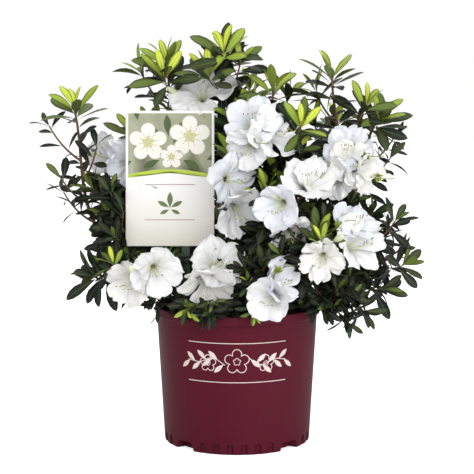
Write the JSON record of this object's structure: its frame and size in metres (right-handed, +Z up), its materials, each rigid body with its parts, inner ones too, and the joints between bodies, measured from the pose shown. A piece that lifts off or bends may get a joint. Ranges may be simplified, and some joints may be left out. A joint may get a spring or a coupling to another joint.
{
  "type": "azalea shrub in a nursery pot",
  "caption": "Evergreen azalea shrub with white blooms and upright leafy shoots, standing in a round tapered nursery pot with a plain label card on a stake.",
  "frame": {"origin": "middle of the pot's flat underside, on the surface that the pot stands on", "axes": "+Z up along the pot's axis, +X to the right and -Y towards the viewer of the picture, which is the side with the label card"},
  "size_m": [0.5329, 0.4018, 0.5824],
  "materials": {
    "pot": "satin maroon",
    "soil": "bark potting mix",
    "bark": "brown bark",
    "foliage": "leathery leaf",
    "label": "printed card"
  },
  "bodies": {
    "root": {"pot": "pot", "soil": "soil", "label_card": "label", "trunk": "bark", "stem_left": "bark", "stem_front": "bark", "stem_right": "bark", "stem_back": "bark", "stem_top": "bark", "bough_left_tall": "bark", "bough_left_mid": "bark", "bough_left_low": "bark", "bough_front_left": "bark", "bough_top_left": "bark", "bough_crown_top": "bark", "bough_upper_mid": "bark", "bough_top_right": "bark", "bough_right_upper": "bark", "bough_right_mid": "bark", "bough_right_low": "bark", "bough_right_skirt": "bark", "bough_front_right": "bark", "bough_front_mid": "bark", "bough_centre_left": "bark", "bough_front_low_mid": "bark", "bough_front_low_left": "bark", "bough_back_left_mid": "bark", "bough_back_top": "bark", "bough_back_right_mid": "bark", "bough_back_left_low": "bark", "bough_back_low_left": "bark", "bough_back_low_right": "bark", "bough_back_right_low": "bark", "foliage_left_tall": "foliage", "foliage_left_mid": "foliage", "foliage_left_low": "foliage", "foliage_front_left": "foliage", "foliage_top_left": "foliage", "foliage_crown_top": "foliage", "foliage_upper_mid": "foliage", "foliage_top_right": "foliage", "foliage_right_upper": "foliage", "foliage_right_mid": "foliage", "foliage_right_low": "foliage", "foliage_right_skirt": "foliage", "foliage_front_right": "foliage", "foliage_front_mid": "foliage", "foliage_centre_left": "foliage", "foliage_front_low_mid": "foliage", "foliage_front_low_left": "foliage", "foliage_back_left_mid": "foliage", "foliage_back_top": "foliage", "foliage_back_right_mid": "foliage", "foliage_back_left_low": "foliage", "foliage_back_low_left": "foliage", "foliage_back_low_right": "foliage", "foliage_back_right_low": "foliage"}
  },
  "joints": []
}
